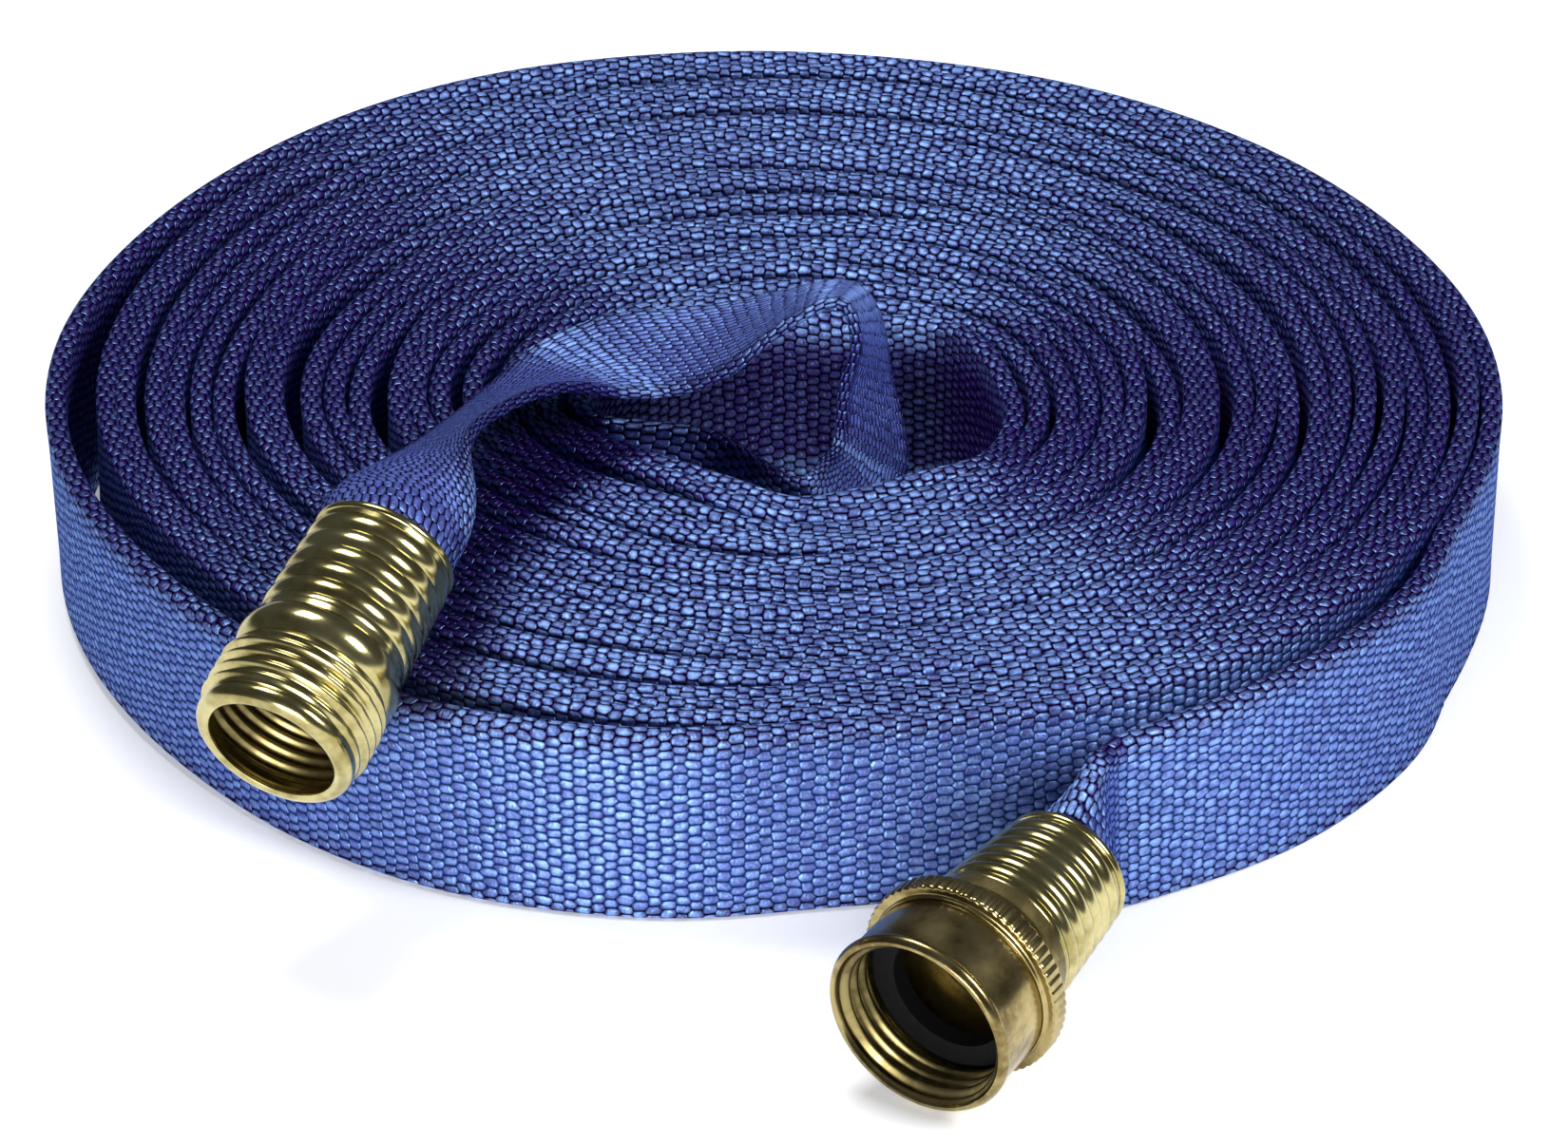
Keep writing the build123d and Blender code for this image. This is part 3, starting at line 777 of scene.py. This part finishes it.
def make_male_thread_end():
    """The pressed shell: a round collar, the rolled thread and a nose that turns in."""
    profile = [(11.2, 20.0), (12.0, 20.0), (12.05, 21.0)]
    profile += [(12.15 + 1.0 * sin(pi * t) ** 0.8, 21.0 + 5.4 * t) for t in np.linspace(0, 1, 15)]
    profile += wall(MALE_ROOT_OUTSIDE, MALE_THREAD_START, MALE_THREAD_END)
    profile += [(12.6, 37.4), (12.75, 38.0), (12.6, 38.7), (12.2, 39.3), (11.6, 39.75), (11.0, 39.9)]
    profile += [(10.5, 39.85), (10.2, 39.6), (10.15, 39.3)]
    inner = len(profile)
    profile += [(10.4, 38.9), (11.2, 38.4), (11.5, 37.6)]
    profile += wall(MALE_ROOT_INSIDE, MALE_THREAD_END, MALE_THREAD_START)
    profile += [(11.6, 25.5), (11.7, 23.0), (9.3, 22.5), (9.3, 21.5), (11.2, 21.5)]

    def change(radius, distance, turn):
        outside = np.abs(radius - MALE_ROOT_OUTSIDE) < 0.01
        inside = np.abs(radius - MALE_ROOT_INSIDE) < 0.01
        phase = distance / THREAD_PITCH - turn / (2 * pi)
        fade = run_out(distance, MALE_THREAD_START, MALE_THREAD_END, 1.6)
        return ridge(phase, 0.8) * fade * (1.1 * outside + 0.7 * inside)

    return lathe("male_coupling_thread", MALE_REAR, MALE_AXIS, profile, inner, change, 192)


NUT_THREAD_START, NUT_THREAD_END = 32.9, 41.6
NUT_ROOT = 13.55
NUT_TEETH = 64


def make_swivel_nut():
    """The knurled collar, the plain skirt, the bead at its rim and the thread inside."""
    profile = fillet([
        (11.5, 26.6), (16.1, 26.6, 0.5), (16.1, 29.9, 0.5), (14.7, 29.9, 0.3), (14.4, 30.6, 0.4),
    ])
    profile += [(14.4, 33.0), (14.4, 36.0), (14.4, 39.4)]
    profile += [(14.4 + 0.55 * sin(pi * t), 39.8 + 2.1 * t) for t in np.linspace(0, 1, 11)]
    profile += [(14.2, 42.0), (13.8, 42.0), (13.6, 41.8)]
    inner = len(profile)
    profile += wall(NUT_ROOT, NUT_THREAD_END, NUT_THREAD_START)
    profile += [(13.2, 32.85), (13.2, 28.1), (11.5, 28.1)]

    def change(radius, distance, turn):
        inside = np.abs(radius - NUT_ROOT) < 0.01
        phase = distance / THREAD_PITCH - turn / (2 * pi)
        fade = run_out(distance, NUT_THREAD_START, NUT_THREAD_END, 1.2)
        teeth = (radius > 15.4) * 0.22 * (ridge(turn * NUT_TEETH / (2 * pi), 0.6) - 1)
        return teeth - 1.15 * inside * ridge(phase, 0.8) * fade

    return lathe("swivel_nut_shell", FEMALE_REAR, FEMALE_AXIS, profile, inner, change, 384, NUT_BRASS)


def make_couplings():
    """All the visible brass. Returns the pieces on the inner end."""
    male_profile = ferrule_profile(MALE_ROUND, ribs=5, rib_height=0.62)
    female_profile = ferrule_profile(FEMALE_ROUND, ribs=6, rib_height=0.6)
    male_ferrule = lathe("male_ferrule_shell", MALE_REAR, MALE_AXIS, male_profile)
    female_ferrule = lathe("female_ferrule_shell", FEMALE_REAR, FEMALE_AXIS, female_profile)
    male_end = make_male_thread_end()
    nut = make_swivel_nut()
    for piece, node, body in (
        (male_ferrule, "male_ferrule", "hose"),
        (female_ferrule, "female_ferrule", "hose"),
        (male_end, "male_thread_end", "hose"),
        (nut, "swivel_nut", "nut"),
    ):
        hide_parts(node)
        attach(piece, body)
    return [male_ferrule, male_end]


# === Putting it together ===========================================================================
tail, tail_lining, tail_middle, tail_length = make_tail()
roll, roll_lining, _, roll_length = make_roll()
for piece, nodes, material, slot in (
    (tail, ("inner_tail_jacket",), TAIL_JACKET, "jacket"),
    (roll, ("rolled_hose", "outer_end_jacket"), JACKET, "jacket"),
    (tail_lining, ("inner_tail_liner",), RUBBER, "liner"),
    (roll_lining, ("outer_end_liner",), RUBBER, "liner"),
):
    piece.data.materials.append(material)
    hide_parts(*nodes)
    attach(piece, "hose")
male_pieces = make_couplings()

CAD_MATERIALS = {"brass": SHADED_INNER_BRASS, "gasket": RUBBER, "liner": RUBBER}
for row in frame["record"]["subparts"]:
    node = frame["nodes"][row["node"]]
    if row["material_slot"] in CAD_MATERIALS:
        node.data.materials.clear()
        node.data.materials.append(CAD_MATERIALS[row["material_slot"]])

print("tail", round(tail_length, 1), "roll", round(roll_length, 1))


# === Floor and light ===============================================================================
def make_stage():
    mesh = bpy.data.meshes.new("floor")
    mesh.from_pydata([(-3, -3, 0), (3, -3, 0), (3, 3, 0), (-3, 3, 0)], [], [(0, 1, 2, 3)])
    floor = bpy.data.objects.new("floor", mesh)
    bpy.context.scene.collection.objects.link(floor)
    mesh.materials.append(pale_floor())


LIGHT_AIM = Vector((0, 0, 0.02))


def make_light(name, place, power, size):
    """A rectangular light that faces the roll."""
    data = bpy.data.lights.new(name, "AREA")
    data.shape = "RECTANGLE"
    data.size, data.size_y = size
    data.energy = power
    light = bpy.data.objects.new(name, data)
    bpy.context.scene.collection.objects.link(light)
    light.location = place
    light.rotation_mode = "QUATERNION"
    light.rotation_quaternion = (LIGHT_AIM - Vector(place)).to_track_quat("-Z", "Y")


def make_lights():
    world = bpy.data.worlds.new("studio")
    world.use_nodes = True
    background = world.node_tree.nodes["Background"]
    background.inputs["Color"].default_value = (0.85, 0.9, 1.0, 1)
    background.inputs["Strength"].default_value = 0.1
    bpy.context.scene.world = world
    make_light("front_key", (-0.3, -1.15, 0.18), 12.5, (0.5, 0.24))
    make_light("overhead", (-0.2, 0.18, 0.92), 6.2, (0.38, 0.34))
    make_light("right_strip", (0.7, -0.4, 0.65), 8.5, (0.36, 0.38))


bpy.context.scene.view_settings.view_transform = "Standard"
make_stage()
make_lights()
